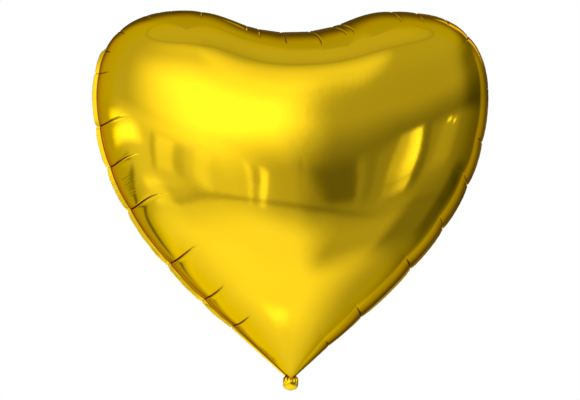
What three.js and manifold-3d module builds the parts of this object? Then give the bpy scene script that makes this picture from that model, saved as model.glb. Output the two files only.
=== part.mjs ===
// Heart-shaped foil balloon. Two heart-cut film panels are heat-sealed round their edge,
// leaving a narrow flat flange outside the seam. At the point the seam opens into a short
// tail, and the two plies of a self-sealing valve run up through it into the gas space.
// Millimetres, +Z up. The front panel faces -Y, and y = 0 is the seam plane.
// The origin is in the middle of the neck, where a ribbon is tied.
import * as THREE from 'three';
import { mergeVertices } from 'three/addons/utils/BufferGeometryUtils.js';
import Module from 'manifold-3d';

// Outline of the seam, inflated
const SEAM_WIDTH = 369; // across the widest place
const WIDEST_HEIGHT = 271; // from the neck up to the widest place
const LOBE_HEIGHT = 347; // from the neck up to the tops of the lobes
const LOBE_OFFSET = 97; // from the middle out to the top of a lobe
const DIP_HEIGHT = 327; // from the neck up to the dip between the lobes
const PANEL_DEPTH = 92; // how far each panel swells from the seam plane
const POINT_REACH = 42; // how far up from the point the swelling is held back
const POINT_TAPER = 0.62; // how much it is held back there

// Film and flange
const FILM = 0.5; // thickness of a film panel
const SEAM_GAP = 0.3; // between the two panels at the flange
const FLANGE = 4; // width outside the seam
const NECK_FLANGE = 1.2; // width beside the neck
const FLANGE_REACH = 60; // how far up from the neck the flange takes to widen

// Neck and tail
const NECK_HEIGHT = 5; // from the tie up to where the seam opens
const TAIL_WIDTH = 14;
const TAIL_LENGTH = 12; // below the tie
const TAIL_SEAL = 1.6; // sealed strip down each side of the tail
const TAIL_CORNER = 4; // radius at the tail's free end

// Valve
const VALVE_FILM = 0.3; // thickness of a valve ply
const VALVE_REACH = 90; // above the neck, inside the gas space
const VALVE_CORNER = 2; // radius at the ply's inner end
const PLY_GAP = 0.3; // between neighbouring plies in the tail
const VALVE_SIDE_GAP = 0.4; // between a valve ply's edge and the tail's seal
const VALVE_INSET = 1; // how far the plies stop short of the tail's free end

// Fineness of the faceted surfaces
const SIDE_STEPS = 44; // along one side of the seam
const DOME_RINGS = 9; // from the middle of a panel to its seam
const CORNER_STEPS = 5; // along a rounded corner

// Worked out from the sizes above
const channelHalf = TAIL_WIDTH / 2 - TAIL_SEAL;
const channelDepth = 2 * VALVE_FILM + 3 * PLY_GAP;
const neckHalf = channelHalf + FILM;
const valveHalf = channelHalf - VALVE_SIDE_GAP;
const ringCentre = new THREE.Vector2(0, 0.65 * DIP_HEIGHT);

const wasm = await Module();
wasm.setup();

// The seam's points, counter-clockwise as seen from the front, as x and height.
function seamOutline() {
  const at = (x, z) => new THREE.Vector2(x, z);
  const half = SEAM_WIDTH / 2;
  const lobeRise = LOBE_HEIGHT - WIDEST_HEIGHT;
  const lobeRun = half - LOBE_OFFSET;
  const flank = new THREE.CubicBezierCurve(
    at(neckHalf, NECK_HEIGHT),
    at(0.44 * half, 0.25 * WIDEST_HEIGHT),
    at(half, 0.56 * WIDEST_HEIGHT),
    at(half, WIDEST_HEIGHT),
  );
  const shoulder = new THREE.CubicBezierCurve(
    at(half, WIDEST_HEIGHT),
    at(half, WIDEST_HEIGHT + 0.63 * lobeRise),
    at(LOBE_OFFSET + 0.66 * lobeRun, LOBE_HEIGHT),
    at(LOBE_OFFSET, LOBE_HEIGHT),
  );
  const dip = new THREE.CubicBezierCurve(
    at(LOBE_OFFSET, LOBE_HEIGHT),
    at(0.65 * LOBE_OFFSET, LOBE_HEIGHT),
    at(0.49 * LOBE_OFFSET, DIP_HEIGHT),
    at(0, DIP_HEIGHT),
  );
  const side = new THREE.CurvePath();
  side.curves.push(flank, shoulder, dip);
  const right = side.getSpacedPoints(SIDE_STEPS);
  const left = right.slice(0, -1).reverse().map((p) => at(-p.x, p.y));
  return [...right, ...left, at(0, NECK_HEIGHT)];
}

// The outline moved outwards by the distance that widthAt gives for each point.
function movedOut(outline, widthAt) {
  return outline.map((p, i) => {
    const before = outline.at(i - 1);
    const after = outline[(i + 1) % outline.length];
    const along = after.clone().sub(before).normalize();
    const outward = new THREE.Vector2(along.y, -along.x);
    return p.clone().addScaledVector(outward, widthAt(p));
  });
}

function flangeWidth(p) {
  const share = THREE.MathUtils.smoothstep(p.y, NECK_HEIGHT, NECK_HEIGHT + FLANGE_REACH);
  return THREE.MathUtils.lerp(NECK_FLANGE, FLANGE, share);
}

// A smooth stand-in for the distance to the seam: the harmonic mean of the distances
// in all directions. It is nought on the seam and highest in the middle.
function seamDistance(p, outline) {
  let sum = 0;
  for (let i = 0; i < outline.length; i++) {
    const a = outline[i].clone().sub(p);
    const b = outline[(i + 1) % outline.length].clone().sub(p);
    const halfAngle = a.cross(b) / (a.length() * b.length() + a.dot(b));
    sum += halfAngle * (1 / a.length() + 1 / b.length());
  }
  return 2 / sum;
}

// How far the film stands from the seam plane at every point of every ring, scaled so
// that the fullest place is PANEL_DEPTH. The root makes the film square to the seam.
function swelling(rings, outline) {
  const raw = rings.map((ring) =>
    ring.map((p) => {
      const above = (p.y - NECK_HEIGHT) / POINT_REACH;
      const taper = 1 - POINT_TAPER * Math.exp(-above);
      return taper * Math.sqrt(seamDistance(p, outline));
    }),
  );
  const most = Math.max(...raw.flat());
  return raw.map((ring) => ring.map((h) => (h / most) * PANEL_DEPTH));
}

// Rings of points from the centre out to the outline, closer together near the outline.
function ringsInside(outline) {
  const rings = [];
  for (let k = 1; k < DOME_RINGS; k++) {
    const share = Math.sin(((k / DOME_RINGS) * Math.PI) / 2);
    rings.push(outline.map((p) => ringCentre.clone().lerp(p, share)));
  }
  return rings;
}

// One closed skin over a row of rings, with a single point at each end.
function skin(first, rings, last, flipped) {
  const count = rings[0].length;
  const points = [first, ...rings.flat(), last];
  const index = [];
  const face = (a, b, c) => index.push(...(flipped ? [a, c, b] : [a, b, c]));
  const at = (k, i) => 1 + k * count + (i % count);
  for (let i = 0; i < count; i++) {
    face(0, at(0, i), at(0, i + 1));
    for (let k = 0; k + 1 < rings.length; k++) {
      face(at(k, i), at(k + 1, i), at(k + 1, i + 1));
      face(at(k, i), at(k + 1, i + 1), at(k, i + 1));
    }
    face(points.length - 1, at(rings.length - 1, i + 1), at(rings.length - 1, i));
  }
  const geometry = new THREE.BufferGeometry().setFromPoints(points);
  geometry.setIndex(index);
  return geometry;
}

// The swollen film of one panel with its flange. side is -1 for the front, 1 for the back.
function domeGeometry(side) {
  const seam = seamOutline();
  const seamInside = movedOut(seam, () => -FILM);
  const edge = movedOut(seam, flangeWidth);
  const outerRings = ringsInside(seam);
  const innerRings = ringsInside(seamInside);
  const heights = swelling([[ringCentre], ...outerRings], seam);
  const top = heights[0][0];
  const inFace = SEAM_GAP / 2;
  const outFace = inFace + FILM;
  const level = (points, y) => points.map((p) => new THREE.Vector3(p.x, side * y, p.y));
  const raised = (ring, k, y) =>
    ring.map((p, i) => new THREE.Vector3(p.x, side * (y + heights[k + 1][i]), p.y));
  const rings = [
    ...outerRings.map((ring, k) => raised(ring, k, outFace)),
    level(seam, outFace),
    level(edge, outFace),
    level(edge, inFace),
    level(seamInside, inFace),
    ...innerRings.map((ring, k) => raised(ring, k, inFace)).reverse(),
  ];
  const middle = (y) => new THREE.Vector3(ringCentre.x, side * (y + top), ringCentre.y);
  return skin(middle(outFace), rings, middle(inFace), side > 0);
}

// A flat strip with two rounded corners at one end, between the given y values.
function strip(halfWidth, fromZ, roundZ, corner, fromY, toY) {
  const turn = Math.sign(roundZ - fromZ);
  const corners = [];
  for (let k = 0; k <= CORNER_STEPS; k++) {
    const angle = ((k / CORNER_STEPS) * Math.PI) / 2;
    const x = halfWidth - corner + corner * Math.cos(angle);
    const z = roundZ - turn * (corner - corner * Math.sin(angle));
    corners.push(new THREE.Vector2(x, z));
  }
  const mirrored = corners.toReversed().map((p) => new THREE.Vector2(-p.x, p.y));
  const ends = [new THREE.Vector2(-halfWidth, fromZ), new THREE.Vector2(halfWidth, fromZ)];
  const shape = new THREE.Shape([...ends, ...corners, ...mirrored]);
  const geometry = new THREE.ExtrudeGeometry(shape, {
    depth: toY - fromY,
    bevelEnabled: false,
  });
  // The shape's second axis becomes height, and the extrusion runs towards -Y.
  return geometry.rotateX(Math.PI / 2).translate(0, toY, 0);
}

function solidFrom(geometry) {
  const bare = geometry.clone();
  bare.deleteAttribute('normal');
  bare.deleteAttribute('uv');
  const merged = mergeVertices(bare);
  return new wasm.Manifold(
    new wasm.Mesh({
      numProp: 3,
      vertProperties: merged.attributes.position.array,
      triVerts: new Uint32Array(merged.index.array),
    }),
  );
}

function geometryFrom(solid) {
  const mesh = solid.getMesh();
  const geometry = new THREE.BufferGeometry();
  geometry.setAttribute('position', new THREE.BufferAttribute(mesh.vertProperties, 3));
  geometry.setIndex(new THREE.BufferAttribute(mesh.triVerts, 1));
  geometry.computeVertexNormals();
  return geometry;
}

function filmMaterial() {
  return new THREE.MeshStandardMaterial({ color: 0xd8b020, metalness: 1, roughness: 0.16 });
}

function valveMaterial() {
  return new THREE.MeshStandardMaterial({ color: 0xe6e8e4, metalness: 0, roughness: 0.35 });
}

function named(name, geometry, material) {
  const mesh = new THREE.Mesh(geometry, material);
  mesh.name = name;
  return mesh;
}

// A film panel: its swollen part, its ply of the tail, and the valve's channel cut through.
function filmPanel(name, side) {
  const tailTop = NECK_HEIGHT + FILM;
  const near = (side * SEAM_GAP) / 2;
  const far = side * (channelDepth / 2 + FILM);
  const tail = strip(
    TAIL_WIDTH / 2,
    tailTop,
    -TAIL_LENGTH,
    TAIL_CORNER,
    Math.min(near, far),
    Math.max(near, far),
  );
  const past = 1; // so that the cut runs clear of both ends
  const channel = new THREE.BoxGeometry(
    2 * channelHalf,
    channelDepth,
    tailTop + TAIL_LENGTH + 2 * past,
  ).translate(0, 0, (tailTop - TAIL_LENGTH) / 2);
  const panel = solidFrom(domeGeometry(side)).add(solidFrom(tail));
  return named(name, geometryFrom(panel.subtract(solidFrom(channel))), filmMaterial());
}

// One ply of the valve, from just inside the tail's free end up into the gas space.
function valvePly(name, side) {
  const near = (side * PLY_GAP) / 2;
  const far = side * (PLY_GAP / 2 + VALVE_FILM);
  const ply = strip(
    valveHalf,
    VALVE_INSET - TAIL_LENGTH,
    NECK_HEIGHT + VALVE_REACH,
    VALVE_CORNER,
    Math.min(near, far),
    Math.max(near, far),
  );
  return named(name, geometryFrom(solidFrom(ply)), valveMaterial());
}

const balloon = new THREE.Group();
balloon.add(
  filmPanel('front_film_panel', -1),
  filmPanel('back_film_panel', 1),
  valvePly('valve_front_ply', -1),
  valvePly('valve_back_ply', 1),
);
export default balloon;
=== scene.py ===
import math

import bpy
import numpy as np
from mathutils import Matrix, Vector


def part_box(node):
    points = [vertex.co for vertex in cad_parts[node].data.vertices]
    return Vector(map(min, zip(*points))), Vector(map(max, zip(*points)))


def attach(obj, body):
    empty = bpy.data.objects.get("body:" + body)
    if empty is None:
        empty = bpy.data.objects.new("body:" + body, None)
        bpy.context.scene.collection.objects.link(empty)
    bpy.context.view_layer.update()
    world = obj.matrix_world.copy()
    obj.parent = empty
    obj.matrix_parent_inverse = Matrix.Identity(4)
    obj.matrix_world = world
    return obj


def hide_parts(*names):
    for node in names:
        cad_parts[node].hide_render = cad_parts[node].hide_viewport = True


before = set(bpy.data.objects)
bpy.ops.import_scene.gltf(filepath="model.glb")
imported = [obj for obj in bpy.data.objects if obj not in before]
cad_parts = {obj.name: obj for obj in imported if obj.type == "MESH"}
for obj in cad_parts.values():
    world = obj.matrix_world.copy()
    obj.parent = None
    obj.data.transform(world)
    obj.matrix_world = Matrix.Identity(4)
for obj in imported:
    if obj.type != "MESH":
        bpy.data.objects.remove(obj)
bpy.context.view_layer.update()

# The looks of an inflated heart-shaped foil balloon. Shapes are worked out in millimetres in
# the CAD's frame: X across, Z up, the front panel facing -Y, and y = 0 on the seam.
MM = 0.001

# ---------------------------------------------------------------- sizes from the frame
low, high = (np.array(v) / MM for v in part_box("front_film_panel"))
valve_high = np.array(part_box("valve_front_ply")[1]) / MM
FLANGE = 4.4            # width of the welded film outside the seam
FILM = 0.1              # thickness of a film
RIGHT_HALF = high[0] - 0.6     # the seam's reach to the right, where the flange is bent back
LEFT_HALF = high[0] - 3.8      # and to the left, where the flange lies flat
LOBE_HEIGHT = high[2] - 1.0
DEPTH = -low[1] - 0.6   # what a panel swells from the seam plane
TAIL_HALF = 7.3         # half the tail's width at its widest
TAIL_END = low[2] + 1.2
TAIL_NECK = 3.2         # height at which the tail is gathered
TAIL_NECK_HALF = 4.8
TAIL_TOP = 5.0          # the plies run up inside the panels to here
# Folds in the tail: place across it, how far down they run as a share, depth.
TAIL_FOLDS = [(-0.78, 0.40, 1.0), (-0.50, 0.48, 1.3), (-0.24, 0.40, 1.2), (0.03, 0.34, 1.0),
              (0.27, 0.46, 1.3), (0.52, 0.42, 1.2), (0.80, 0.36, 0.9)]
WIDEST = 0.772 * high[2]       # height of the seam's widest place
DIP = 0.9402 * high[2]
LOBE_OFFSET = 0.515 * high[0]
POINT = (0, 0.3)               # the heart's point
VALVE_HALF = valve_high[0]     # half a valve ply's width
POINT_REACH = 42.0             # height over which the balloon thins towards its point
POINT_TAPER = 0.62             # share of its depth that it loses there

# ---------------------------------------------------------------- pleats
# Where a pleat crosses the seam, as a share of the way from the heart's point to the dip; where
# its inner end is, seen from the front: so far in from the seam and so far along towards the
# dip; and its depth.
LEFT_PLEATS = [
    (0.130, 15, -2, 1.3), (0.196, 18, -1, 1.4), (0.278, 24, 1, 1.6),
    (0.389, 26, 5, 1.7), (0.467, 20, 7, 1.6), (0.537, 15, 6, 1.4), (0.624, 6, 2, 0.9),
    (0.663, 3, 0, 0.9), (0.704, 3, 0, 0.8), (0.755, 4, 0, 0.7), (0.777, 2.5, 0, 0.5),
    (0.797, 3, -0.5, 0.7), (0.847, 7, -3, 0.9), (0.926, 6, -2, 0.8), (0.946, 9.5, -2, 0.9),
    (0.984, 12, 0, 1.5),
]
RIGHT_PLEATS = [
    (0.083, 6, -1, 1.0), (0.155, 12, 0, 1.5), (0.269, 12, 1, 1.9),
    (0.354, 10, 4, 1.9), (0.437, 11, 5, 1.9), (0.511, 7, 1, 1.5), (0.600, 3, 1, 0.5),
    (0.692, 7, 0, 1.0), (0.737, 4, -1, 0.7), (0.785, 8, -5, 0.9), (0.827, 10, -7, 1.0),
    (0.915, 12, -6, 1.0), (0.929, 11, -6, 0.9), (0.968, 16, -5, 1.4),
]
MAIN_PLEAT = 0.8       # pleats at least this deep part the pillows between them
# Patches of fine wrinkles beside the seam: middle as the same share, half length in millimetres,
# how far over the film from the seam, strength.
LEFT_COMBS = [(0.055, 13, 11, 2.2), (0.428, 12, 24, 1.1), (0.515, 10, 24, 1.0),
              (0.60, 12, 20, 0.5), (0.70, 18, 8, 1.6), (0.775, 12, 8, 1.8), (0.81, 10, 8, 1.6),
              (0.899, 10, 12, 1.0)]
RIGHT_COMBS = [(0.045, 10, 8, 1.2), (0.327, 12, 22, 1.0), (0.47, 10, 24, 0.6),
               (0.655, 12, 18, 0.6), (0.709, 12, 14, 1.0), (0.755, 11, 12, 1.1),
               (0.805, 9, 12, 1.0), (0.87, 12, 16, 0.5)]
COMB_PITCH = 2.2
COMB_DEPTH = 0.15
# How far back the flange is bent, in degrees, at shares of the way from the heart's point to the
# dip and on: 0 is the point, 1 the dip, 2 the point again, up the right side and down the left.
FLANGE_TILTS = [(0, 60), (0.12, 66), (0.35, 50), (0.6, 50), (0.85, 80), (1.0, 80), (1.15, 82),
                (1.295, 84), (1.332, 84), (1.340, 40), (1.38, 22), (1.48, 14), (1.7, 12),
                (1.88, 14), (2.0, 40)]
FLANGE_RINGS = (0.12, 0.5, 0.86, 1.0)    # places of its rings, as shares of its width


def bezier(a, b, c, d, steps=700):
    t = np.linspace(0, 1, steps)[:, None]
    a, b, c, d = (np.array(p, float) for p in (a, b, c, d))
    return (1 - t) ** 3 * a + 3 * (1 - t) ** 2 * t * b + 3 * (1 - t) * t * t * c + t ** 3 * d


def seam_side(half_width, belly, waist, shoulder_height, shoulder_width):
    """One half of the seam, from the heart's point up to the dip, as x and z.
    belly and waist are the heights of the flank's two handles, as shares of WIDEST; the
    shoulder's two handles stand at shares of the lobe's rise and of its outer run."""
    rise, run = LOBE_HEIGHT - WIDEST, half_width - LOBE_OFFSET
    flank = bezier(POINT, (0.42 * half_width, belly * WIDEST),
                   (half_width, waist * WIDEST), (half_width, WIDEST))
    shoulder = bezier((half_width, WIDEST), (half_width, WIDEST + shoulder_height * rise),
                      (LOBE_OFFSET + shoulder_width * run, LOBE_HEIGHT), (LOBE_OFFSET, LOBE_HEIGHT))
    dip = bezier((LOBE_OFFSET, LOBE_HEIGHT), (0.65 * LOBE_OFFSET, LOBE_HEIGHT),
                 (0.49 * LOBE_OFFSET, DIP), (0, DIP))
    line = np.vstack([flank, shoulder[1:], dip[1:]])
    at = np.r_[0, np.cumsum(np.linalg.norm(np.diff(line, axis=0), axis=1))]
    return line, at


RIGHT_LINE, RIGHT_AT = seam_side(RIGHT_HALF, 0.265, 0.545, 0.68, 0.70)
LEFT_LINE, LEFT_AT = seam_side(LEFT_HALF, 0.272, 0.552, 0.66, 0.69)
HALF_ROUND = (RIGHT_AT[-1] + LEFT_AT[-1]) / 2
ROUND = 2 * HALF_ROUND


def on_seam(s):
    """Points x, z on the seam at distances s from the heart's point, up the right-hand side."""
    s = np.mod(s, ROUND)
    up = s / HALF_ROUND * RIGHT_AT[-1]
    down = (ROUND - s) / HALF_ROUND * LEFT_AT[-1]
    left = s > HALF_ROUND
    x = np.where(left, -np.interp(down, LEFT_AT, LEFT_LINE[:, 0]),
                 np.interp(up, RIGHT_AT, RIGHT_LINE[:, 0]))
    z = np.where(left, np.interp(down, LEFT_AT, LEFT_LINE[:, 1]),
                 np.interp(up, RIGHT_AT, RIGHT_LINE[:, 1]))
    return np.stack([x, z], axis=-1)


def seam_outward(s, step=0.8):
    """Unit vectors x, z that point out of the heart at the seam."""
    along = on_seam(s + step) - on_seam(s - step)
    along /= np.linalg.norm(along, axis=-1, keepdims=True)
    return np.stack([along[..., 1], -along[..., 0]], axis=-1)


def around(s, at):
    """Signed distance along the seam from at to s, the short way round."""
    return np.mod(s - at + HALF_ROUND, ROUND) - HALF_ROUND


def smooth(x):
    x = np.clip(x, 0, 1)
    return x * x * (3 - 2 * x)


def seam_distance(points, outline, chunk=2000):
    """The harmonic mean of the distances to the seam in all directions."""
    result = np.empty(len(points))
    for first in range(0, len(points), chunk):
        p = points[first:first + chunk, None, :]
        a = outline[None] - p
        b = np.roll(a, -1, axis=1)
        length_a = np.sqrt((a * a).sum(-1))
        length_b = np.roll(length_a, -1, axis=1)
        cross = a[..., 0] * b[..., 1] - a[..., 1] * b[..., 0]
        half_angle = cross / (length_a * length_b + (a * b).sum(-1))
        result[first:first + chunk] = 2 / (half_angle * (1 / length_a + 1 / length_b)).sum(1)
    return result


# ---------------------------------------------------------------- the panels' grid
CENTRE = np.array([0.0, 0.65 * DIP])
BASE_STEP = 2.4        # between plain columns, along the seam
COMB_STEP = 0.65       # between columns in a patch of fine wrinkles
PLEAT_COLUMNS = (0.26, 0.52, 0.8, 1.2, 1.75, 2.5)    # more columns, this far from each pleat
COLUMN_GAP = 0.12      # the least distance between two columns
RIM_SHARE = 0.46       # from the seam to this ring share the rings carry every column
INNER_RINGS = 18       # rings from there to the middle
HALVED_RINGS = 9       # of those, the rings with every second plain column; the rest have a quarter
CORNER_ROUNDING = 60   # how far along the seam the innermost ring's corner is rounded off
HEIGHT_COLUMNS = 400   # where the dome's height is worked out; it is interpolated between them
SEARCH = 60            # how far along the seam a pleat's inner end may lie from its start
MOST_DRIFT = 170       # the steepest drift of the columns, over the ring share squared


class Pleat:
    """reach is the ring share q at its inner end; drift is how far that end has moved along s
    from the column it starts on."""

    def __init__(self, side, share, inward, lean, depth):
        self.side, self.depth = side, depth
        self.at = share * HALF_ROUND if side > 0 else ROUND - share * HALF_ROUND
        start, out = on_seam(self.at), seam_outward(self.at)
        to_dip = side * np.array([-out[1], out[0]])
        end = start - inward * out + lean * to_dip - CENTRE
        nearby = self.at + np.linspace(-SEARCH, SEARCH, 1201)
        spokes = on_seam(nearby) - CENTRE
        turn = spokes[:, 0] * end[1] - spokes[:, 1] * end[0]
        best = np.argmin(np.abs(turn))
        self.drift = nearby[best] - self.at
        left = np.linalg.norm(end) / np.linalg.norm(spokes[best])
        self.reach = math.sqrt(max(1 - left, 0.004))


PLEATS = [Pleat(1, *p) for p in RIGHT_PLEATS] + [Pleat(-1, *p) for p in LEFT_PLEATS]
PLEATS.sort(key=lambda p: p.at)
COMBS = [(share * HALF_ROUND, *rest) for share, *rest in RIGHT_COMBS]
COMBS += [(ROUND - share * HALF_ROUND, *rest) for share, *rest in LEFT_COMBS]


def columns():
    """Distances s of all columns, and of the plain ones, which the inner rings are thinned from."""
    count = 4 * round(ROUND / BASE_STEP / 4)
    plain = np.arange(count) * ROUND / count
    extra = []
    for p in PLEATS:
        extra += [p.at + side * d for d in PLEAT_COLUMNS for side in (-1, 1)]
    for at, half, _, _ in COMBS:
        extra += list(at + np.arange(-half * 1.3, half * 1.3, COMB_STEP))
    extra = np.mod(np.array(extra), ROUND)
    gap = np.abs(around(extra[:, None], plain[None])).min(1)
    extra = np.sort(extra[gap > COLUMN_GAP])
    keep = np.r_[True, np.diff(extra) > COLUMN_GAP]
    every = np.sort(np.r_[plain, extra[keep]])
    return every, plain


def drift_at(s, q, back):
    """How far the columns have drifted along s at ring share q, so that pleats lie on them."""
    at = [0] + [p.at for p in PLEATS] + [ROUND]
    rates = [np.clip(p.drift / p.reach ** 2, -MOST_DRIFT, MOST_DRIFT) for p in PLEATS]
    drift = np.interp(np.mod(s, ROUND), at, [0, *rates, 0]) * q * q * math.exp(-(q / RIM_SHARE) ** 6)
    return drift * (0.5 if back else 1.0)


def bulge(s):
    """How far the film swells out between neighbouring pleats, nought at each pleat."""
    main = np.array([p.at for p in PLEATS if p.depth >= MAIN_PLEAT])
    after = np.searchsorted(main, s) % len(main)
    before = (after - 1) % len(main)
    span = np.mod(main[after] - main[before], ROUND)
    share = np.mod(s - main[before], ROUND) / span
    return np.minimum(0.016 * span, 0.9) * np.sin(np.pi * np.clip(share, 0, 1)) ** 0.7


def comb(s, a, seed):
    """Fine wrinkles beside the seam."""
    total = np.zeros(np.broadcast(s, a).shape)
    for i, (at, half, over, strength) in enumerate(COMBS):
        w = around(s, at)
        inside = np.exp(-(w / half) ** 4)
        phase = 2 * np.pi * w / COMB_PITCH + 0.9 * np.sin(w * 0.7 + i + seed)
        along = np.exp(-((a - over) / (0.45 * over)) ** 2)
        total += strength * inside * along * np.cos(phase)
    return total


def tuck(w, p):
    """A pleat's section: a narrow slot, and on its lower side a rounded lip."""
    slot = 1 / (1 + (np.abs(w) / 0.56) ** 6)
    cheek = np.exp(-np.abs(w) / 2.2)
    lip = np.exp(-((w * p.side + 1.5) / 0.85) ** 2)
    return -0.75 * slot - 0.35 * cheek + 0.34 * lip


def seam_shift(s):
    """How far the seam itself moves out of the smooth outline."""
    shift = bulge(s)
    for p in PLEATS:
        shift = shift + 0.4 * p.depth * tuck(around(s, p.at), p)
    return shift


def in_slots(s):
    """1 where a pleat crosses the seam."""
    return sum(np.exp(-(around(s, p.at) / 0.6) ** 4) for p in PLEATS)


def pleat_fade(q, p, back, i):
    reach = p.reach * ((0.7 + 0.15 * (i % 3)) if back else 1.0)
    return np.clip(1 - (q / reach) ** 2, 0, 1) ** 0.6


def relief(s, a, q, back):
    """How far the film stands off the smooth dome, at ring share q and at distance a over the
    film from the seam."""
    closed_up = 1 - q * q
    rise = bulge(s) * np.exp(-(a / 34.0) ** 2)
    for i, p in enumerate(PLEATS):
        w = around(s, p.at) * closed_up
        fade = pleat_fade(q, p, back, i)
        rise = rise + p.depth * fade * tuck(w, p)
        step = fade * np.where(w * p.side > 0, 0.5, -0.5) * np.exp(-np.abs(w) / 7.0)
        rise = rise + 0.55 * p.depth * step * (1 - np.exp(-a / 5.0))
        hollow = np.exp(-(w / 10.0) ** 2 - (q / (1.15 * p.reach)) ** 4) * (1 - np.exp(-a / 8.0))
        rise = rise - 0.22 * p.depth * hollow
    return rise + COMB_DEPTH * comb(s, a, 2.0 if back else 0.0)


def crease(s, q, back):
    """1 in the bottom of a pleat and on the seam line, where the film is folded: there it is made
    rougher and painted darker, a painted shade in the creases.
    """
    closed_up = 1 - q * q
    shade_and_dull = np.exp(-(q / 0.06) ** 2) * np.ones_like(s)
    for i, p in enumerate(PLEATS):
        w = around(s, p.at) * closed_up
        in_slot = 1 / (1 + (np.abs(w) / 0.52) ** 6)
        shade_and_dull = np.maximum(shade_and_dull, in_slot * pleat_fade(q, p, back, i) ** 0.7 * min(p.depth, 1))
    return shade_and_dull


def waviness(x, z, seed):
    """The slight unevenness of stretched film over the whole panel: waves given by how fast they
    turn across and up, where they start, and how high they are."""
    waves = ((0.020, 0.043, 0.4, 0.20), (0.051, -0.023, 1.7, 0.14), (-0.034, 0.062, 2.9, 0.11),
             (0.084, 0.031, 4.2, 0.05), (-0.072, -0.088, 5.3, 0.035), (0.012, -0.101, 0.9, 0.04))
    return sum(k * np.sin(fx * x + fz * z + p + seed) for fx, fz, p, k in waves)


def flange_width(s):
    """The flange narrows towards the heart's point."""
    share = np.abs(around(s, 0)) / HALF_ROUND
    return np.interp(share, (0, 0.03, 0.10, 0.19, 1), (1.2, 1.5, 1.9, FLANGE, FLANGE))


def flange_tilt(s):
    """How far back the flange is bent, in radians."""
    shares, degrees = zip(*FLANGE_TILTS)
    return np.radians(np.interp(np.mod(s, ROUND) / HALF_ROUND, shares, degrees))


def ring_points(s, q):
    """Points x, z of the ring at share q; its corner at the heart's point is rounded off more and
    more towards the middle."""
    place = np.linspace(-1, 1, 13)
    weight = 1 - place ** 2 + 0.02
    spread = CORNER_ROUNDING * q * q * place
    outline = sum(w * on_seam(s + d) for w, d in zip(weight / weight.sum(), spread))
    return CENTRE + (1 - q * q) * (outline - CENTRE)


def ring_shares():
    """q for each ring: 0 at the seam, 1 in the middle. Even steps of q are even over the film."""
    rim, step = [0, 0.004, 0.010, 0.018], 0.0088
    while rim[-1] < RIM_SHARE:
        rim.append(rim[-1] + step)
        step *= 1.067
    inner = np.linspace(rim[-1], 1, INNER_RINGS + 2)[1:-1]
    return np.array(rim), inner


def dome_heights():
    """The panel's height at every ring, at HEIGHT_COLUMNS even places round it."""
    rim, inner = ring_shares()
    q = np.r_[rim[1:], inner, 1.0]
    s = np.arange(HEIGHT_COLUMNS) * ROUND / HEIGHT_COLUMNS
    flat = np.vstack([ring_points(s, share) for share in q])
    outline_points = 900
    outline = on_seam(np.arange(outline_points) * ROUND / outline_points)
    height = np.sqrt(np.abs(seam_distance(flat, outline)))
    height *= 1 - POINT_TAPER * np.exp(-(flat[:, 1] - 5) / POINT_REACH)
    # the film rolls over tightly at the dip, and hardly sinks between the lobes
    from_dip = np.maximum(DIP - flat[:, 1], 0)
    height *= 1 + 0.30 * np.exp(-from_dip / 18 - (flat[:, 0] / 50) ** 2)
    height *= DEPTH / height.max()
    height = height.reshape(len(q), HEIGHT_COLUMNS)
    return np.vstack([np.zeros(HEIGHT_COLUMNS), height])


HEIGHTS = dome_heights()


def height_at(ring, s):
    """The panel's height on a ring, by a smooth curve through the four nearest places."""
    place = np.mod(s, ROUND) / ROUND * HEIGHT_COLUMNS
    first = np.floor(place).astype(int)
    f = place - first
    a, b, c, d = (HEIGHTS[ring][(first + k) % HEIGHT_COLUMNS] for k in (-1, 0, 1, 2))
    # the rings have a corner at the heart's point, and the curve doesn't run round it
    a = np.where(first == 0, 3 * (b - c) + d, a)
    d = np.where(first == HEIGHT_COLUMNS - 1, 3 * (c - b) + a, d)
    return b + 0.5 * f * (c - a + f * (2 * a - 5 * b + 4 * c - d + f * (3 * (b - c) + d - a)))


def panel_grids(back):
    """The panel's three blocks of rings, each as (columns s, shares q) and a grid of points."""
    every, plain = columns()
    rim, inner = ring_shares()
    blocks = [(every, rim), (plain[::2], inner[:HALVED_RINGS]), (plain[::4], inner[HALVED_RINGS:])]
    grids, ring = [], 0
    for s, shares in blocks:
        grid = np.empty((len(shares), len(s), 3))
        for j, q in enumerate(shares):
            warped = s + drift_at(s, q, back)
            flat = ring_points(warped, q)
            grid[j] = np.column_stack([flat[:, 0], -height_at(ring, warped), flat[:, 1]])
            ring += 1
        grids.append(grid)
    return blocks, grids


def block_normals(grid):
    """Unit normals out of a grid of rings by columns."""
    around_it = np.roll(grid, -1, axis=1) - np.roll(grid, 1, axis=1)
    inward = np.gradient(grid, axis=0)
    normal = np.cross(around_it, inward)
    return normal / np.linalg.norm(normal, axis=-1, keepdims=True)


def cells(along, across, first=0):
    """The four corners of each cell of a grid of points, numbered from first."""
    for i in range(along - 1):
        for j in range(across - 1):
            a = first + i * across + j
            yield a, a + across, a + across + 1, a + 1


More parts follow.
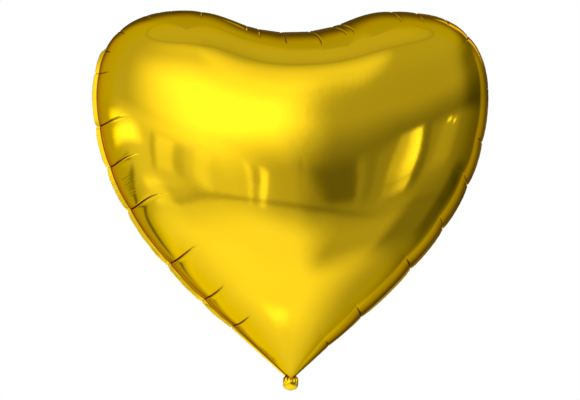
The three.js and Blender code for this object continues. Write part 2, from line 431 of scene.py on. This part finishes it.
def tail_ply(first, seed):
    """One ply of the tail: gathered at the neck, crinkled below it, round at its mouth."""
    along, across = 44, 40
    u = np.linspace(0, 1, along)[:, None]
    v = np.linspace(-1, 1, across)[None]
    z = np.broadcast_to(TAIL_TOP + (TAIL_END - TAIL_TOP) * u, (along, across))
    down = np.clip((TAIL_NECK - z) / (TAIL_NECK - TAIL_END), 0, 1)
    widening = np.sin(np.clip(down / 0.22, 0, 1) * np.pi / 2)
    flare = TAIL_NECK_HALF + (TAIL_HALF - TAIL_NECK_HALF) * widening
    round_off = np.sqrt(np.clip(1 - (np.clip(down - 0.5, 0, 1) / 0.5) ** 2.6, 0, 1))
    half = flare * (0.25 + 0.75 * round_off)
    x = half * np.sin(v * np.pi / 2)
    z = z + 0.9 * (v ** 2) * down ** 3
    swell = 1.9 + 1.9 * np.sin(np.pi * np.clip(down, 0, 1)) ** 0.8 - 1.2 * down ** 3
    y = -swell * np.sqrt(np.clip(1 - v ** 2, 0, 1)) ** 1.2 * (0.35 + 0.65 * round_off)
    folds = np.zeros_like(x)
    for i, (place, run, deep) in enumerate(TAIL_FOLDS):
        w = v - place * (1 + 0.3 * np.sin(3 * down + i + seed))
        along_it = np.clip(1 - down / run, 0, 1) ** 0.7
        folds += deep * np.exp(-np.abs(w) / 0.045) * along_it
        folds -= 0.4 * deep * np.exp(-((np.abs(w) - 0.12) / 0.05) ** 2) * along_it
    creases = 0.16 * np.sin(9 * v + 5 * down + seed) * np.sin(11 * down + 2 * v) * (1 - 0.7 * down)
    y = y + (folds + creases) * (1 - v ** 4)
    # painted shade: the tail's folds and its gathered neck are painted darker, and made rougher
    shade_and_dull = np.clip(np.maximum(folds * 1.1, 1 - down / 0.22), 0, 1).ravel()
    points = np.stack([x, y, z], axis=-1).reshape(-1, 3)
    return points, list(cells(along, across, first)), shade_and_dull


def swollen_film(blocks, grids, back, seed):
    """The film inside the seam: its points, the point numbers of each block's rings, and how far
    each point is roughened and painted darker, a painted shade in the creases."""
    points, rows, shade_and_dull = [], [], []
    carried = None     # distance over the film from the seam, at a block's last ring
    for k, ((s, shares), grid) in enumerate(zip(blocks, grids)):
        padded, over = grid, np.zeros(len(s))
        if k > 0:  # the ring before, so that normals and distances run on smoothly
            index = np.searchsorted(blocks[k - 1][0], s - 1e-9)
            padded = np.concatenate([grids[k - 1][-1][index][None], grid])
            over = carried[index]
        added = len(padded) - len(grid)
        steps = np.linalg.norm(np.diff(padded, axis=0), axis=2)
        a = (over + np.vstack([np.zeros(len(s)), np.cumsum(steps, axis=0)]))[added:]
        carried = a[-1]
        normal = block_normals(padded)[added:]
        lift = relief(s[None], a, shares[:, None], back)
        if k == 0:
            out = seam_outward(s)
            normal[0] = np.column_stack([out[:, 0], np.zeros(len(s)), out[:, 1]])
            lift[0] = seam_shift(s)
        wave = waviness(grid[..., 0], grid[..., 2], seed) * (1 - np.exp(-(a / 14.0) ** 2))
        moved = grid + normal * (lift + wave)[..., None]
        if k == 0:
            moved[0, :, 1] = 0
        rows.append([len(points) + np.arange(len(s)) + j * len(s) for j in range(len(shares))])
        points.extend(moved.reshape(-1, 3))
        shade_and_dull.extend(crease(s[None], shares[:, None], back).ravel())
    return points, rows, shade_and_dull


def flange(s, seam_points, back):
    """The flange's rings from the seam outwards, and how far their points are roughened and painted
    darker, a painted shade where pleats cross the seam. It is pinched and flipped over a little at
    each pleat."""
    out = seam_outward(s)
    pinch = np.zeros(len(s))
    flip = np.zeros(len(s))
    for i, p in enumerate(PLEATS):
        w = around(s, p.at)
        pinch += 0.17 * p.depth * np.exp(-np.abs(w) / 4.0)
        flip += 0.30 * p.depth * np.sign(w) * np.exp(-np.abs(w) / 3.0) * (1 if i % 2 else -1)
    ripple = 0.12 * np.sin(s * 0.9) + 0.10 * np.sin(s * 2.3 + 1) + 0.08 * np.sin(s * 0.31)
    width = flange_width(s) * (1 - np.clip(pinch, 0, 0.45)) + ripple
    tilt = flange_tilt(s)
    rings, shade_and_dull = [], []
    for share in FLANGE_RINGS:
        far = width * share
        y = far * np.sin(tilt) + flip * share + 0.25 * ripple * share
        rings.append(seam_points + np.column_stack([out[:, 0] * far * np.cos(tilt), y,
                                                    out[:, 1] * far * np.cos(tilt)]))
        shade_and_dull.extend(0.75 * crease(s, 0.0, back) * in_slots(s) * (1 - share))
    return rings, shade_and_dull


def band(outer, inner):
    """Faces between two rings with the same columns."""
    return list(zip(outer, np.roll(outer, -1), np.roll(inner, -1), inner))


def thinning_band(outer, outer_s, inner, inner_s):
    """Triangles between a ring and one with fewer columns."""
    faces = []
    i = j = 0
    while i < len(outer) or j < len(inner):
        next_outer = outer_s[i + 1] if i + 1 < len(outer) else ROUND
        next_inner = inner_s[j + 1] if j + 1 < len(inner) else ROUND
        a, b = outer[i % len(outer)], inner[j % len(inner)]
        if i < len(outer) and (j >= len(inner) or next_outer <= next_inner):
            faces.append((a, outer[(i + 1) % len(outer)], b))
            i += 1
        else:
            faces.append((a, inner[(j + 1) % len(inner)], b))
            j += 1
    return faces


def panel_mesh(name, back):
    """One film panel: the swollen film, the flange outside the seam, and the tail's ply."""
    seed = 3.0 if back else 0.0
    blocks, grids = panel_grids(back)
    points, rows, shade_and_dull = swollen_film(blocks, grids, back, seed)
    every = blocks[0][0]
    rings, flange_shade_and_dull = flange(every, np.array(points[:len(every)]), back)
    flange_rows = []
    for ring in rings:
        flange_rows.append(len(points) + np.arange(len(every)))
        points.extend(ring)
    top = len(points)
    points.append((CENTRE[0], -HEIGHTS[-1][0] - waviness(*CENTRE, seed), CENTRE[1]))
    tail, faces, tail_shade_and_dull = tail_ply(top + 1, seed)
    points = np.vstack([points, tail])
    if back:   # mirrored, but for the flange, which is welded to the front panel's
        body = np.ones(len(points), bool)
        body[np.concatenate(flange_rows)] = False
        points[body, 1] *= -1

    chain = flange_rows[::-1] + rows[0]
    for outer, inner in zip(chain[:-1], chain[1:]):
        faces += band(outer, inner)
    for k in (1, 2):
        faces += thinning_band(rows[k - 1][-1], blocks[k - 1][0], rows[k][0], blocks[k][0])
        for outer, inner in zip(rows[k][:-1], rows[k][1:]):
            faces += band(outer, inner)
    last = rows[2][-1]
    faces += [(a, b, top) for a, b in zip(last, np.roll(last, -1))]
    if back:
        faces = [f[::-1] for f in faces]
    mesh = bpy.data.meshes.new(name)
    mesh.from_pydata((points * MM).tolist(), [], [tuple(int(i) for i in f) for f in faces])
    # the painted crease shade for every point, which also roughens the film
    shade_and_dull = np.r_[shade_and_dull, flange_shade_and_dull, 0, tail_shade_and_dull]
    mesh.attributes.new("crease_shade_and_dull", "FLOAT", "POINT").data.foreach_set("value", shade_and_dull)
    return mesh


def valve_strip(name, back):
    """One ply of the valve: a thin strip from the tail's mouth up inside the balloon."""
    along, across = 120, 13
    bottom, top = TAIL_END + 2.5, valve_high[2]
    u = np.linspace(0, 1, along)[:, None]
    v = np.linspace(-1, 1, across)[None]
    z = np.broadcast_to(bottom + (top - bottom) * u, (along, across))
    neck = np.exp(-((z - TAIL_NECK) / 5.0) ** 2)
    half = VALVE_HALF * (1 - 0.42 * neck)
    near_top = np.clip((u - 0.985) / 0.015, 0, 1)     # its upper corners are rounded off
    x = half * v * np.sqrt(1 - 0.35 * near_top ** 2)
    gather = 0.27 * neck * np.cos(v * 3 * np.pi)
    flutter = 0.5 * np.sin(z / 17.0 + 1.3) * smooth((z - 12) / 25)
    gap = 0.16 + 0.10 * (1 - v ** 2)
    y = flutter + gather + (gap if back else -gap)
    points = np.stack([x, y, z], axis=-1).reshape(-1, 3)
    faces = [(a, d, c, b) for a, b, c, d in cells(along, across)]
    if back:
        faces = [f[::-1] for f in faces]
    mesh = bpy.data.meshes.new(name)
    mesh.from_pydata((points * MM).tolist(), [], faces)
    return mesh


def as_object(name, mesh):
    """Puts a mesh in the scene, smooth but for its sharp folds."""
    sharp_fold = math.radians(38)
    piece = bpy.data.objects.new(name, mesh)
    bpy.context.scene.collection.objects.link(piece)
    mesh.polygons.foreach_set("use_smooth", [True] * len(mesh.polygons))
    mesh.set_sharp_from_angle(angle=sharp_fold)
    return piece


def thicken(piece, thickness):
    """Gives a sheet its thickness, inwards."""
    film = piece.modifiers.new("film", "SOLIDIFY")
    film.thickness = thickness * MM
    film.offset = -1
    film.use_even_offset = False


# ---------------------------------------------------------------- node trees and materials
class Nodes:
    """Adds nodes to a node tree and joins them up."""

    def __init__(self, tree):
        self.tree = tree
        tree.nodes.clear()

    def add(self, kind, inputs=None, **settings):
        node = self.tree.nodes.new(kind)
        for key, value in settings.items():
            setattr(node, key, value)
        for key, value in (inputs or {}).items():
            socket = node.inputs[key]
            if isinstance(value, bpy.types.NodeSocket):
                self.tree.links.new(value, socket)
            else:
                socket.default_value = value
        return node

    def math(self, operation, a, b=0.0, clamp=False):
        node = self.add("ShaderNodeMath", {0: a, 1: b}, operation=operation, use_clamp=clamp)
        return node.outputs[0]

    def ease(self, value, start, end, low=0.0, high=1.0):
        node = self.add("ShaderNodeMapRange", {"Value": value, "From Min": start, "From Max": end,
                                               "To Min": low, "To Max": high},
                        interpolation_type="SMOOTHSTEP")
        return node.outputs["Result"]


class Amount:
    """A number in a node tree, put together with ordinary arithmetic."""

    def __init__(self, nodes, socket):
        self.nodes, self.socket = nodes, socket

    def made(self, operation, other):
        other = other.socket if isinstance(other, Amount) else other
        return Amount(self.nodes, self.nodes.math(operation, self.socket, other))

    def __add__(self, other):
        return self.made("ADD", other)

    def __sub__(self, other):
        return self.made("SUBTRACT", other)

    def __mul__(self, other):
        return self.made("MULTIPLY", other)

    def at_least(self, other):
        return self.made("MAXIMUM", other)

    def ease(self, start, end, low=0.0, high=1.0):
        """low up to start, high from end on, smooth in between."""
        return Amount(self.nodes, self.nodes.ease(self.socket, start, end, low, high))

    def within(self, low, high, soft):
        """1 between low and high, with edges this soft."""
        return self.ease(low - soft, low + soft) * self.ease(high + soft, high - soft)

    def toward(self, other, share):
        return self + (other - self) * share


def gold_film():
    """Metallised film: bright gold, a fine grain, faint smears and slight mottling, with painted
    shade in its creases and folds, which are also rougher.
    """
    material = bpy.data.materials.new("gold_film")
    material.use_nodes = True
    n = Nodes(material.node_tree)
    place = n.add("ShaderNodeTexCoord").outputs["Object"]
    cloud = n.add("ShaderNodeTexNoise", {"Vector": place, "Scale": 14.0, "Detail": 3.0})
    grain = n.add("ShaderNodeTexNoise", {"Vector": place, "Scale": 900.0, "Detail": 2.0})
    pores = n.add("ShaderNodeTexNoise", {"Vector": place, "Scale": 160.0, "Detail": 3.0})
    tint = n.add("ShaderNodeMix", {"Factor": cloud.outputs["Fac"]}, data_type="RGBA")
    tint.inputs["A"].default_value = (0.93, 0.59, 0.008, 1)
    tint.inputs["B"].default_value = (0.97, 0.66, 0.016, 1)
    rough = n.ease(cloud.outputs["Fac"], 0.35, 0.7, 0.055, 0.085)
    rough = n.math("ADD", rough, n.math("MULTIPLY", pores.outputs["Fac"], 0.02))
    # painted shade: the crease attribute mixes the gold towards dark brown in the pleats, on the
    # seam and in the tail's folds, and raises the roughness there
    shade_and_dull = n.add("ShaderNodeAttribute", attribute_name="crease_shade_and_dull").outputs["Fac"]
    shaded_creases = n.add("ShaderNodeMix", {"Factor": shade_and_dull}, data_type="RGBA")
    n.tree.links.new(tint.outputs["Result"], shaded_creases.inputs["A"])
    shaded_creases.inputs["B"].default_value = (0.06, 0.044, 0.003, 1)
    rough = n.math("ADD", rough, n.math("MULTIPLY", shade_and_dull, 0.3))
    bump = n.add("ShaderNodeBump", {"Height": grain.outputs["Fac"], "Strength": 0.02,
                                    "Distance": 0.0003})
    ripple = n.add("ShaderNodeBump", {"Height": pores.outputs["Fac"], "Strength": 0.018,
                                      "Distance": 0.001, "Normal": bump.outputs["Normal"]})
    shader = n.add("ShaderNodeBsdfPrincipled", {"Base Color": shaded_creases.outputs["Result"],
                                                "Specular Tint": (0.92, 0.60, 0.02, 1),
                                                "Metallic": 1.0, "Roughness": rough,
                                                "Normal": ripple.outputs["Normal"]})
    n.add("ShaderNodeOutputMaterial", {"Surface": shader.outputs["BSDF"]})
    return material


def valve_film():
    """Milky polythene with fine stretch marks."""
    material = bpy.data.materials.new("valve_film")
    material.use_nodes = True
    n = Nodes(material.node_tree)
    place = n.add("ShaderNodeTexCoord").outputs["Object"]
    streak = n.add("ShaderNodeMapping", {"Vector": place, "Scale": (900, 900, 60)})
    marks = n.add("ShaderNodeTexNoise", {"Vector": streak.outputs["Vector"], "Scale": 1.0})
    tint = n.add("ShaderNodeMix", {"Factor": marks.outputs["Fac"]}, data_type="RGBA")
    tint.inputs["A"].default_value = (0.80, 0.81, 0.78, 1)
    tint.inputs["B"].default_value = (0.92, 0.93, 0.90, 1)
    bump = n.add("ShaderNodeBump", {"Height": marks.outputs["Fac"], "Strength": 0.2,
                                    "Distance": 0.0002})
    shader = n.add("ShaderNodeBsdfPrincipled", {"Base Color": tint.outputs["Result"],
                                                "Roughness": 0.32,
                                                "Normal": bump.outputs["Normal"]})
    n.add("ShaderNodeOutputMaterial", {"Surface": shader.outputs["BSDF"]})
    return material


# ---------------------------------------------------------------- the balloon
gold = gold_film()
milky = valve_film()
for name, back in (("front_film", False), ("back_film", True)):
    piece = as_object(name, panel_mesh(name, back))
    piece.data.materials.append(gold)
    thicken(piece, FILM)
    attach(piece, "root")
    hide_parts(name + "_panel")
for name, back in (("valve_front", False), ("valve_back", True)):
    piece = as_object(name, valve_strip(name, back))
    piece.data.materials.append(milky)
    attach(piece, "root")
    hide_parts(name + "_ply")


# ---------------------------------------------------------------- room, light and camera
# The room's brightness in each direction is worked out from a, the azimuth in degrees from straight
# ahead of the front panel (-Y) round towards +X, and e, the elevation.
# Lighter and darker patches low on the wall ahead: how far they lean, in azimuth per degree of
# elevation; from where to where they reach sideways, and how soft that edge is; the same upwards;
# and how much they add.
WALL_PATCHES = [
    (0, (-60, -33, 6), (-26, -15, 4), -0.08),
    (-0.75, (-49, -45, 1.2), (-24, -6, 2.5), -0.20),
    (-0.75, (-42.5, -30, 1.5), (-23, -7, 2), 0.24),
    (-0.75, (-28.5, -23, 1.2), (-22, -7, 2.5), -0.15),
    (-0.75, (-18.5, -13.5, 1.2), (-20, -6, 2.5), 0.22),
    (-0.22, (-9.0, -7.4, 0.5), (-19, -3, 1.8), 0.35),
    (-0.22, (-7.0, -5.2, 0.5), (-18, -3, 1.8), -0.14),
    (-0.22, (-4.6, -2.2, 0.6), (-19, -3, 1.8), 0.75),
    (0, (-118, -70, 10), (-14, -5, 3), 0.95),
    (0.35, (22.5, 26, 0.8), (-17, 1, 3), -0.07),
    (0.33, (43.5, 49, 2.2), (-20, 4, 4), -0.12),
    (0, (58, 76, 5), (-17, -1, 3), 0.11),
    (0, (62, 66, 0.8), (-2.6, -1.2, 0.5), 1.3),
    (0, (69, 71.5, 0.8), (-4.2, -2.8, 0.5), 1.1),
]


def above_eye_level(a, e):
    """A pale ceiling, and a darker wall on the right."""
    far_right = a.ease(55, 105) * e.ease(52, 22)
    ceiling = e.ease(56, 80, 0.53, 0.56)
    right_wall = e.ease(0, 20, 0.19, 0.36) + e.ease(20, 60, 0, 0.10)
    right_wall = right_wall * far_right.ease(0, 1, 1, 0.28)
    return ceiling.toward(right_wall, a.ease(3, 14) * e.ease(78, 58))


def big_soft_light(a, e):
    """High on the left, with a slanting edge above the middle."""
    risen = e - a.ease(-20, 6, 0, 12)
    high_up = e.ease(52, 20) * 0.93 + e.ease(67, 58) * 0.29
    high_up = high_up + a.ease(-4, 6) * e.within(38, 56, 5) * 0.22
    edge = a - e.ease(20, 66, 0, 12)
    return a.ease(-82, 0) * risen.ease(-13, 8) * high_up * edge.ease(2, 13, 1, 0.05)


def window(a, e):
    """A bright window on the right, with a bar across it."""
    leaning = a + e * 0.33
    pane = leaning.within(31, 42.6, 0.8) * e.within(-19, 0.5, 1.5)
    pane = pane * (leaning.ease(33, 41, 0.28, 1.25) * e.ease(-17, -9, 0.45, 1))
    return pane * (e.within(-15.4, -14.6, 0.5) * -0.45 + 1)


def wall_below_eye_level(a, e):
    """Windows on the left, dark blocks on the right, and a dark skirting line."""
    wall = a.ease(-125, -70, 0.50, 0.78) - a.ease(-18, 4, 0, 0.28)
    wall = wall.toward(a.ease(60, 115, 0.30, 0.13), a.ease(4, 12))
    for lean, sideways, upwards, change in WALL_PATCHES:
        leaning = a + e * lean if lean else a
        wall = wall + leaning.within(*sideways) * e.within(*upwards) * change
    block = a + e * 0.35
    wall = wall - block.ease(6, 12) * block.ease(20.6, 19.2) * e.within(-16, 4, 2.5) * 0.17
    skirting = e - a.ease(0, 60, -16, -25) - a.ease(-8, -64, 0, -15)
    wall = wall * (skirting.within(-1.8, 0.4, 0.9) * a.ease(-85, -55) * -0.40 + 1)
    wall = wall + a.within(-88, -64, 7) * e.within(-33, -28, 3) * 0.40
    slanted = e - a * 0.2
    return wall - a.within(-146, -97, 6) * slanted.within(-5, 0, 2.2) * 0.36


def room_floor(a, e):
    """Bright, darker towards the right, and in shadow there where it meets the wall."""
    shade = a.ease(5, 90, 1.12, 0.42) - a.ease(-40, -125, 0, 0.30)
    shade = shade + e.ease(-46, -66) * a.ease(20, 80) * 0.28
    shadow = a.ease(3, 24, 1.05, 0.44) - a.ease(50, 64, 0, 0.24)
    lit = shadow.toward(shade, e.ease(-33, -46))
    lit = lit.toward(lit * 0.2 + 0.64, e.ease(-60, -86))
    return lit + a.within(-52, -10, 14) * e.within(-68, -62, 5) * 0.55


def behind_the_balloon(a, e):
    """Dim, with two windows."""
    dim = e.ease(-52, -22, 0.50, 0.11) + e.ease(25, 60, 0, 0.34)
    dim = dim + a.within(150, 163, 2) * e.within(8, 30, 2) * 0.9
    return dim + a.within(-157, -146, 2) * e.within(-20, 12, 2) * 0.7


def room_brightness(a, e):
    """The whole room, never quite dark."""
    floor_edge = a.ease(-64, -8, -36, -22)
    below = wall_below_eye_level(a, e).toward(room_floor(a, e), (floor_edge - e).ease(-5, 7))
    light = below.toward(above_eye_level(a, e), e.ease(-3.5, 3.5)) + window(a, e)
    light = light + big_soft_light(a, e)
    light = light * (e.within(64.5, 67, 1.4) * -0.16 + 1)      # a line round the ceiling
    light = light + a.within(122, 152, 4) * e.within(-50, 20, 6) * 0.24
    light = light - a.within(90, 114, 6) * e.within(-34, -17, 3) * 0.09
    behind = a.ease(-152, -175) + a.ease(128, 160)
    return light.toward(behind_the_balloon(a, e), behind).at_least(0.03)


def world_light():
    """A soft room that only the reflections and the light see; the camera sees white."""
    world = bpy.data.worlds.new("room")
    bpy.context.scene.world = world
    world.use_nodes = True
    n = Nodes(world.node_tree)
    way = n.add("ShaderNodeTexCoord").outputs["Generated"]
    split = n.add("ShaderNodeSeparateXYZ", {"Vector": way})
    back = n.math("MULTIPLY", split.outputs["Y"], -1)
    azimuth = n.math("DEGREES", n.math("ARCTAN2", split.outputs["X"], back))
    elevation = n.math("DEGREES", n.math("ARCSINE", split.outputs["Z"]))
    light = room_brightness(Amount(n, azimuth), Amount(n, elevation))
    room = n.add("ShaderNodeBackground", {"Color": (1, 1, 1, 1), "Strength": light.socket})
    plain = n.add("ShaderNodeBackground", {"Color": (1, 1, 1, 1), "Strength": 1.0})
    path = n.add("ShaderNodeLightPath")
    both = n.add("ShaderNodeMixShader", {0: path.outputs["Is Camera Ray"],
                                         1: room.outputs[0], 2: plain.outputs[0]})
    n.add("ShaderNodeOutputWorld", {"Surface": both.outputs[0]})


def floor():
    """A pale disc well below the balloon, which floats."""
    mesh = bpy.data.meshes.new("floor")
    corners, radius, level = 96, 2.2, -0.36
    turns = [2 * math.pi * i / corners for i in range(corners)]
    ring = [(radius * math.cos(turn), radius * math.sin(turn), level) for turn in turns]
    mesh.from_pydata(ring, [], [tuple(range(corners))])
    piece = bpy.data.objects.new("floor", mesh)
    bpy.context.scene.collection.objects.link(piece)
    material = bpy.data.materials.new("pale_floor")
    material.use_nodes = True
    n = Nodes(material.node_tree)
    place = n.add("ShaderNodeTexCoord").outputs["Object"]
    mottle = n.add("ShaderNodeTexNoise", {"Vector": place, "Scale": 3.0, "Detail": 4.0})
    tint = n.add("ShaderNodeMix", {"Factor": mottle.outputs["Fac"]}, data_type="RGBA")
    tint.inputs["A"].default_value = (0.84, 0.84, 0.835, 1)
    tint.inputs["B"].default_value = (0.88, 0.88, 0.88, 1)
    rough = n.ease(mottle.outputs["Fac"], 0.3, 0.7, 0.5, 0.65)
    shader = n.add("ShaderNodeBsdfPrincipled", {"Base Color": tint.outputs["Result"],
                                                "Roughness": rough})
    n.add("ShaderNodeOutputMaterial", {"Surface": shader.outputs["BSDF"]})
    mesh.materials.append(material)
    piece.visible_glossy = False   # the film reflects the room's own floor


def key_light():
    """A soft light from the upper left, which only the floor and the shadows show."""
    aim = Vector((0, 0, 0.17))
    light = bpy.data.lights.new("key", "AREA")
    light.size, light.energy = 1.6, 40
    piece = bpy.data.objects.new("key", light)
    piece.location = (-1.3, -1.5, 1.9)
    piece.visible_glossy = False
    piece.rotation_euler = (aim - piece.location).to_track_quat("-Z", "Y").to_euler()
    bpy.context.scene.collection.objects.link(piece)


def camera():
    """A long lens, a little to the left of the balloon and level with it."""
    data = bpy.data.cameras.new("camera")
    azimuth, elevation, distance = math.radians(-7), math.radians(-0.5), 4.6
    seen_width = 0.553    # what the frame takes in at the seam plane
    data.sensor_width = 36
    data.lens = data.sensor_width * distance / seen_width
    eye = bpy.data.objects.new("camera", data)
    aim = Vector((-0.0006, 0, 0.1708))
    away = Vector((math.sin(azimuth) * math.cos(elevation), -math.cos(azimuth) * math.cos(elevation),
                   math.sin(elevation)))
    eye.location = aim + distance * away
    eye.rotation_euler = (-away).to_track_quat("-Z", "Y").to_euler()
    bpy.context.scene.collection.objects.link(eye)
    bpy.context.scene.camera = eye


world_light()
floor()
key_light()
camera()
bpy.context.scene.view_settings.view_transform = "Standard"
